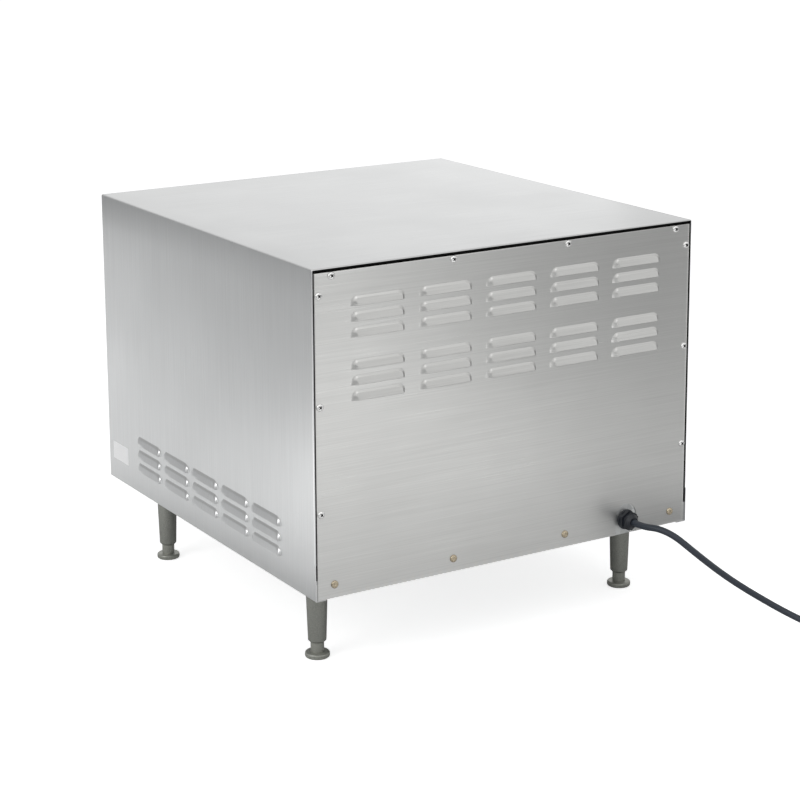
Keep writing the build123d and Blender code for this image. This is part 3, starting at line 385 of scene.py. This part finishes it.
def wrapProfile(s):
    # half of the folded sheet's outer line, by length: foot flange, lower bend, side, upper bend, half the top
    c = casing
    low, high = c["lowBend"], c["bend"]
    foot, side, top = c["foot"] - low, c["top"] - c["bottom"] - low - high, c["half"] - high
    marks = np.cumsum([0, foot, low * math.pi / 2, side, high * math.pi / 2, top])
    lowTurn = np.clip((s - marks[1]) / low, 0, math.pi / 2)
    highTurn = np.clip((s - marks[3]) / high, 0, math.pi / 2)
    x = -c["half"] + c["foot"] - np.clip(s, 0, foot) - low * np.sin(lowTurn)
    z = c["bottom"] + low * (1 - np.cos(lowTurn)) + np.clip(s - marks[2], 0, side)
    x = x + high * (1 - np.cos(highTurn)) + np.clip(s - marks[4], 0, top)
    z = z + high * np.sin(highTurn)
    turn = lowTurn + highTurn
    return x, z, -np.sin(turn), -np.cos(turn), marks


def makeCasingWrap():
    # one folded sheet over the top and both sides, louvred low on each: half of it, and the same half mirrored; the
    # strip along its rear edge is left to the hem
    c = casing
    marks = wrapProfile(np.zeros(1))[4]
    toLength = marks[2] - c["lowBend"] - c["bottom"]  # turns a height on the side into its length along the sheet
    centres = groupCentres(c["louvreSpacing"], c["louvreMiddle"])
    lips = [z + c["bottom"] + toLength for z in groupLips(c["louvreLip"])]
    across, up = louvreLines(centres, lips, c["louvreEnds"])
    hemStart = c["bottom"] + c["hemFrom"] + toLength
    lastStrip = c["rear"] - c["hem"]
    columns = np.concatenate([across, [c["rear"]], np.linspace(c["front"], lastStrip, 9)])
    bends = [np.linspace(marks[k], marks[k + 1], n) for k, n in ((0, 4), (1, 6), (2, 10), (3, 9), (4, 8))]
    rows = np.concatenate([up, [hemStart], *bends])
    u, v, rise, faces = pressedGrid(columns, rows, centres, lips, c["louvreEnds"])
    strip = (u.ravel()[faces].mean(axis=1) > lastStrip) & (v.ravel()[faces].mean(axis=1) > hemStart)
    faces = faces[~strip]
    x, z, nx, nz, _ = wrapProfile(v.ravel())
    left = np.column_stack([x + nx * rise.ravel(), u.ravel(), z + nz * rise.ravel()])
    right = left * [-1, 1, 1]
    points, faces, _ = weld(np.vstack([left, right]), np.vstack([faces[:, ::-1], faces + len(left)]))
    points, faces = thicken(points, faces, c["sheet"])
    piece = addPiece("casingSheet", points, faces, finishes["casing_steel"], slot="casing_steel")
    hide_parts("casing_wrap")


hem = {  # points are (inset from the outer face, depth in front of the rear plane)
    "nose": 0.0014, "leastRadius": 0.0003,
    "groove": [(0.0016, 0.0002), (0.0018, 0.0006), (0.0018, 0.009), (0.0062, 0.009), (0.0062, 0.0018),
               (0.0065, 0.0015)],
    "flange": [(casing["flange"], 0.0015), (casing["flange"], 0.0025), (0.0072, 0.0025), (0.0072, 0.010),
               (0.0012, 0.010), (0.001, casing["hem"])],
    "darkRows": (1, 3),  # the rows of faces inside the groove, counted from the nose's end
}


def wrapLine(inset):  # the casing's outline at one inset, from the hem's left foot over the top to its right foot
    c = casing
    radius = max(c["bend"] - inset, hem["leastRadius"])
    turn = np.linspace(0, math.pi / 2, 9)
    x, z = c["half"] - inset - radius, c["top"] - inset - radius
    corner = np.column_stack([-x - radius * np.cos(turn), z + radius * np.sin(turn)])
    foot = c["bottom"] + c["hemFrom"]
    side = np.column_stack([np.full(6, -c["half"] + inset), np.linspace(foot, z, 7)[:-1]])
    half = np.vstack([side, corner])
    return np.vstack([half, half[::-1] * [-1, 1]])


def makeHem():
    # the rear edge: a rounded nose, a narrow deep groove, then the flange that the panel lies on; one section is
    # carried along the outline
    turn = np.linspace(0, math.pi / 2, 9)
    nose = np.column_stack([hem["nose"] - hem["nose"] * np.cos(turn), casing["hem"] * (1 - np.sin(turn))])
    section = np.vstack([nose, hem["groove"], hem["flange"]])
    lines = np.stack([wrapLine(inset) for inset, _ in section])
    y = np.broadcast_to((casing["rear"] - section[:, 1])[:, None], lines.shape[:2])
    points = np.stack([lines[..., 0], y, lines[..., 1]], axis=-1).reshape(-1, 3)
    sides = gridFaces(len(section), lines.shape[1], closedRows=True)
    starts = np.arange(len(section)) * lines.shape[1]
    piece = addPiece("casingHem", points, sides, finishes["casing_steel"], slot="casing_steel", smoothBelow=40,
                     ends=[starts, starts[::-1] + lines.shape[1] - 1])
    # the faces inside the groove take the near-black finish: painted shade for the deep gap between casing and panel
    row = np.append(np.arange(len(sides)) // (lines.shape[1] - 1) - len(nose), [-1, -1])
    dark = (row >= hem["darkRows"][0]) & (row <= hem["darkRows"][1])
    piece.data.materials.append(finishes["recess"])
    piece.data.polygons.foreach_set("material_index", dark.astype(np.int32))


makeBackPanel()
makeCasingWrap()
makeHem()
print("louvred sheets ready")

fourAcross = (-0.299, -0.0997, 0.0997, 0.299)
screws = {  # places are (across, up) of each head's middle on the back panel, and depth is the cross's
    "rear": {"replaces": "back_panel_screws", "slot": "bright_screw", "radius": 0.0054, "height": 0.003,
             "depth": 0.0019, "inside": "recess", "places": [(x, 0.5894) for x in fourAcross]
             + [(side * 0.3195, z) for side in (-1, 1) for z in (0.251, 0.4058, 0.5629)]},
    "base": {"replaces": "base_screws", "slot": "brassy_screw", "radius": 0.0057, "height": 0.003,
             "depth": 0.0006, "inside": "brassy_screw", "places": [(x, 0.145) for x in fourAcross]},
}
cross = {"arm": 0.0007, "reach": 0.0031, "wall": 0.0003, "sunkFrom": 0.3}
dome = {"edge": 0.0008, "fall": 3.2, "round": 0.55}  # the upright edge's height, and the two powers of the curve
headLines = np.array([0, 0.07, 0.1, 0.13, 0.17, 0.26, 0.36, 0.46, 0.54, 0.62, 0.72, 0.82, 0.9, 0.96, 1, 1.004])


def makeScrews(name, kind):
    # pan heads on a square grid drawn out to a disc: above an upright edge the height falls off as a rounded power
    # of the radius, less a cross that is deepest in its middle; a flat grid closes the back
    radius, places = kind["radius"], np.array(kind["places"])
    lines = np.concatenate([-headLines[:0:-1], headLines])
    s, t = np.meshgrid(lines, lines)
    a, b = radius * s * np.sqrt(1 - t * t / 2), radius * t * np.sqrt(1 - s * s / 2)
    r = np.hypot(a, b)
    head = np.clip(1 - (r / radius) ** dome["fall"], 0, 1) ** dome["round"]
    head = dome["edge"] + (kind["height"] - dome["edge"]) * head
    head = np.where(np.maximum(np.abs(s), np.abs(t)) > 1, 0, head)
    nearArm = np.minimum(np.abs(a), np.abs(b))
    sunk = np.clip((cross["arm"] - nearArm) / cross["wall"] + 0.5, 0, 1)
    sunk = sunk * np.clip(1 - (r / cross["reach"]) ** 3, 0, 1)
    front = np.stack([(a - b) / math.sqrt(2), head - kind["depth"] * sunk, (a + b) / math.sqrt(2)], axis=-1)
    rear = front * [1, 0, 1]
    one = np.concatenate([front.reshape(-1, 3), rear.reshape(-1, 3)])
    grid = gridFaces(*r.shape)
    oneFaces = np.vstack([grid[:, ::-1], grid + r.size])
    oneSunk = np.append(sunk.ravel()[grid].mean(axis=1) > cross["sunkFrom"], np.zeros(len(grid), dtype=bool))
    middles = np.column_stack([places[:, 0], np.full(len(places), panel["face"]), places[:, 1]])
    points = (middles[:, None] + one).reshape(-1, 3)
    faces = (oneFaces + len(one) * np.arange(len(places))[:, None, None]).reshape(-1, 4)
    points, faces, kept = weld(points, faces)
    piece = addPiece(name, points, faces, finishes[kind["slot"]], slot=kind["slot"], smoothBelow=50)
    # faces inside a cross take the kind's inside finish: near-black painted shade of the recess on the rear screws,
    # their own metal on the base screws
    piece.data.materials.append(finishes[kind["inside"]])
    piece.data.polygons.foreach_set("material_index", np.tile(oneSunk, len(places))[kept].astype(np.int32))
    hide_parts(kind["replaces"])


makeScrews("backPanelScrews", screws["rear"])
makeScrews("basePanelScrews", screws["base"])
print("screws ready")

label = {"low": (-0.2943, 0.1595), "high": (-0.2363, 0.1885), "out": 0.3302, "thick": 0.0002}


def makeLabel():  # blank, low on the side, between its low and its high corner
    paper = fineGrain("coatedPaperLabel", "#f3f3f3", "#fcfcfc", 0.0, 0.4, 0.002, 0.00001)
    (nearY, lowZ), (farY, highZ) = label["low"], label["high"]
    y, z = np.meshgrid(np.linspace(nearY, farY, 9), np.linspace(lowZ, highZ, 5))
    flat = np.column_stack([np.full(y.size, label["out"]), y.ravel(), z.ravel()])
    addPiece("blankLabel", *thicken(flat, gridFaces(*y.shape), label["thick"]), paper)


makeLabel()
print("label ready")

cord = {  # from the gland down to the floor, round its coil and to the plug
    "diameter": 0.010,
    "length": 1.73,
    "route": [
        (-0.2145, 0.4030, 0.1475), (-0.2145, 0.42625, 0.1475), (-0.2230, 0.45125, 0.1510),
        (-0.2350, 0.47425, 0.1440), (-0.2510, 0.49275, 0.1260), (-0.2765, 0.49975, 0.1030),
        (-0.3045, 0.50575, 0.0795), (-0.3320, 0.51575, 0.0580), (-0.3590, 0.52875, 0.0385),
        (-0.3835, 0.54825, 0.0210), (-0.4025, 0.57825, 0.0085), (-0.4140, 0.61525, 0.0050),
    ],
    "coilFrom": (-0.4145, 0.64925, 0.0050),
    "halfTurns": (0.0655, 0.0602, 0.0549, 0.0496, 0.0549, 0.0602, 0.0655),
    "climbs": 3,  # the half turn that climbs a layer
    "layer": 0.0105,
    "leadIn": 0.010,
    "leadOut": 0.028,
    "pointsPerHalf": 8,
}


def coilPoints():
    # half circles joined end to end, each smaller or larger by one step, and the fourth climbs to the second layer;
    # the points of a quadratic spline lie outside its curve, so each radius is let out by half of that gap
    here = np.array(cord["coilFrom"])
    heading = np.array([0.0, 1.0, 0.0])
    points = [here]
    here = here + heading * cord["leadIn"]
    step = math.pi / cord["pointsPerHalf"]
    angle = (np.arange(cord["pointsPerHalf"]) + 0.5) * step
    letOut = 2 / (1 + math.cos(step / 2))
    for k, radius in enumerate(cord["halfTurns"]):
        left = np.array([-heading[1], heading[0], 0.0])
        rise = cord["layer"] if k == cord["climbs"] else 0.0
        centre = here + left * radius
        ring = centre + radius * letOut * (np.outer(np.sin(angle), heading) - np.outer(np.cos(angle), left))
        ring[:, 2] = here[2] + rise * angle / math.pi
        points += list(ring)
        here = here + left * 2 * radius + np.array([0, 0, rise])
        heading = -heading
    points += [here + heading * cord["leadOut"] * 0.5, here + heading * cord["leadOut"]]
    return points


def makeCord():  # a round spline of the second degree
    points = [np.array(p) for p in cord["route"]] + coilPoints()
    curve = bpy.data.curves.new("powerCord", "CURVE")
    curve.dimensions = "3D"
    curve.bevel_depth = cord["diameter"] / 2
    curve.bevel_resolution = 6
    curve.resolution_u = 8
    curve.use_fill_caps = True
    line = curve.splines.new("NURBS")
    line.points.add(len(points) - 1)
    line.points.foreach_set("co", np.column_stack([points, np.ones(len(points))]).ravel())
    line.order_u = 3
    line.use_endpoint_u = True
    curve.materials.append(finishes["cord_rubber"])
    piece = bpy.data.objects.new("powerCord", curve)
    scene.collection.objects.link(piece)
    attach(piece, "casing")
    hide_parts("power_cord", "cord_coil")


makeCord()
print("cord ready")

view = {"place": (1.7205, 2.8570, 1.2158), "azimuth": 149.298, "elevation": 11.797, "roll": -0.497,
        "lens": 96.391, "sensor": 36, "shift": (0.04887, -0.18322), "far": 200}


def makeCamera():  # the camera's three axes, from its compass angle, its height above the horizon and its roll
    a, e, r = (math.radians(view[k]) for k in ("azimuth", "elevation", "roll"))
    back = np.array([math.sin(a) * math.cos(e), -math.cos(a) * math.cos(e), math.sin(e)])
    right = np.cross(-back, [0, 0, 1])
    right /= np.linalg.norm(right)
    up = np.cross(right, -back)
    turned = [math.cos(r) * right + math.sin(r) * up, math.cos(r) * up - math.sin(r) * right, back]
    data = bpy.data.cameras.new("camera")
    data.lens, data.sensor_width = view["lens"], view["sensor"]
    data.shift_x, data.shift_y = view["shift"]
    data.clip_end = view["far"]
    camera = bpy.data.objects.new("camera", data)
    scene.collection.objects.link(camera)
    matrix = np.eye(4)
    matrix[:3, :3] = np.column_stack(turned)
    matrix[:3, 3] = view["place"]
    camera.matrix_world = matrix.T
    scene.camera = camera


studio = {
    "lobes": [  # how the metal sees the room: toward, where each lobe starts and is full, brightness
        ((-0.1, 0.99, 0.1), 0.2, 0.95, 0.9),
        ((-0.35, -0.93, 0.1), 0.35, 0.95, 0.76),
        ((0, 0, 1), 0.3, 0.8, 0.4),
        ((1, 0, 0), 0.2, 0.9, 0.5),
        ((-1, 0, 0), 0.3, 0.9, 0.3),
        ((-1, 0, 0), 0.7, 0.95, 0.45),
    ],
    "pools": [  # how the metal sees the floor, over its own shaded grey: middle, radius, brightness
        (0.6, -0.8, 0.7, 0.48), (0.6, -1.6, 0.8, 0.9), (0.6, -2.6, 0.95, 1.45), (1.2, -0.1, 0.85, 1.64),
        (1.2, -2.6, 1.15, 0.33), (0.2, 0.95, 0.65, 0.43), (-0.4, 0.95, 0.65, 0.27), (-1.1, 0.95, 0.65, 0.25),
        (-0.4, 1.5, 0.75, 0.72), (-0.4, 2.2, 0.95, 0.73), (-0.4, 3.1, 1.3, 0.97), (-1.1, 3.1, 1.3, 0.43),
        (-1.9, 0.3, 0.9, 0.5),
    ],
    "sky": (0.98, 0.99, 1, 1),  # the world's light on the object, and its strength
    "soft": 0.38,
    "floorGrey": 0.85,
    "floorReach": 60.0,
    "glow": 0.74,  # lifts the floor to white for the camera
}


def rays(tree):  # which rays look straight or through glass, and which of all do that or come off metal
    path = addNode(tree, "ShaderNodeLightPath").node.outputs
    through = addNode(tree, "ShaderNodeMath", {0: path["Is Camera Ray"], 1: path["Is Transmission Ray"]},
                      operation="MAXIMUM")
    return through, addNode(tree, "ShaderNodeMath", {0: through, 1: path["Is Glossy Ray"]}, operation="MAXIMUM")


def addUp(tree, parts):  # the sum of several outputs
    total = parts[0]
    for part in parts[1:]:
        total = addNode(tree, "ShaderNodeMath", {0: total, 1: part}, operation="ADD")
    return total


def makeWorld():
    # white to the camera and through glass; the metal sees a room with two open ends and a pale ceiling
    world = bpy.data.worlds.new("studio")
    scene.world = world
    world.use_nodes = True
    tree = world.node_tree
    tree.nodes.clear()
    through, seen = rays(tree)
    toward = addNode(tree, "ShaderNodeTexCoord", output="Generated")
    lobes = []
    for axis, start, full, brightness in studio["lobes"]:
        unit = [value / math.hypot(*axis) for value in axis]
        along = addNode(tree, "ShaderNodeVectorMath", {0: toward, 1: unit}, "Value", operation="DOT_PRODUCT")
        lobes.append(addNode(tree, "ShaderNodeMapRange", {"Value": along, "From Min": start, "From Max": full,
                                                          "To Max": brightness}, interpolation_type="SMOOTHSTEP"))
    shown = addNode(tree, "ShaderNodeMix", {0: through, 2: addUp(tree, lobes), 3: 1.0})
    soft = addNode(tree, "ShaderNodeBackground", {"Color": studio["sky"], "Strength": studio["soft"]})
    bright = addNode(tree, "ShaderNodeBackground", {"Color": [1, 1, 1, 1], "Strength": shown})
    both = addNode(tree, "ShaderNodeMixShader", {0: seen, 1: soft, 2: bright})
    addNode(tree, "ShaderNodeOutputWorld", {"Surface": both})


def makeFloor():
    # a pale sheet that keeps the shadow: white to the camera, and to the metal lit in round pools
    reach = studio["floorReach"]
    corners = [(-reach, -reach, 0), (reach, -reach, 0), (reach, reach, 0), (-reach, reach, 0)]
    mesh = bpy.data.meshes.new("floor")
    mesh.from_pydata(corners, [], [(0, 1, 2, 3)])
    floor = bpy.data.objects.new("floor", mesh)
    scene.collection.objects.link(floor)
    material, tree, coords = startMaterial("paleFloor")
    through, seen = rays(tree)
    pools = []
    for x, y, radius, brightness in studio["pools"]:
        away = addNode(tree, "ShaderNodeVectorMath", {0: coords, 1: (x, y, 0)}, "Value", operation="DISTANCE")
        pools.append(addNode(tree, "ShaderNodeMapRange", {"Value": away, "From Max": radius, "To Min": brightness,
                                                          "To Max": 0.0}, interpolation_type="SMOOTHSTEP"))
    shown = addNode(tree, "ShaderNodeMix", {0: through, 2: addUp(tree, pools), 3: studio["glow"]})
    strength = addNode(tree, "ShaderNodeMath", {0: seen, 1: shown}, operation="MULTIPLY")
    glow = addNode(tree, "ShaderNodeEmission", {"Color": [1, 1, 1, 1], "Strength": strength})
    matt = addNode(tree, "ShaderNodeBsdfDiffuse", {"Color": [studio["floorGrey"]] * 3 + [1]})
    both = addNode(tree, "ShaderNodeAddShader", {0: matt, 1: glow})
    addNode(tree, "ShaderNodeOutputMaterial", {"Surface": both})
    mesh.materials.append(material)


def addSoftbox(name, place, target, size, power, seen=True):  # a rectangular lamp that faces its target, in watts
    lamp = bpy.data.lights.new(name, "AREA")
    lamp.shape, lamp.size, lamp.size_y, lamp.energy = "RECTANGLE", size[0], size[1], power
    box = bpy.data.objects.new(name, lamp)
    scene.collection.objects.link(box)
    box.location = place
    box.visible_camera = seen
    away = np.array(place) - np.array(target)
    azimuth = math.atan2(away[0], -away[1])
    height = math.atan2(away[2], math.hypot(away[0], away[1]))
    box.rotation_euler = (math.pi / 2 - height, 0, azimuth)


makeCamera()
makeWorld()
makeFloor()
addSoftbox("overheadSoftbox", (0.6, 0.8, 3.2), (0, 0, 0.3), (5.0, 5.0), 36)
addSoftbox("leftSoftbox", (3.2, 0.6, 1.6), (0.2, 0, 0.35), (2.0, 2.0), 30)
addSoftbox("backdropStrip", (-0.9, -1.8, 0.9), (0, -0.2, 0.6), (1.6, 0.7), 1.2, seen=False)
scene.view_settings.view_transform = "Standard"
print("camera, floor and light ready")
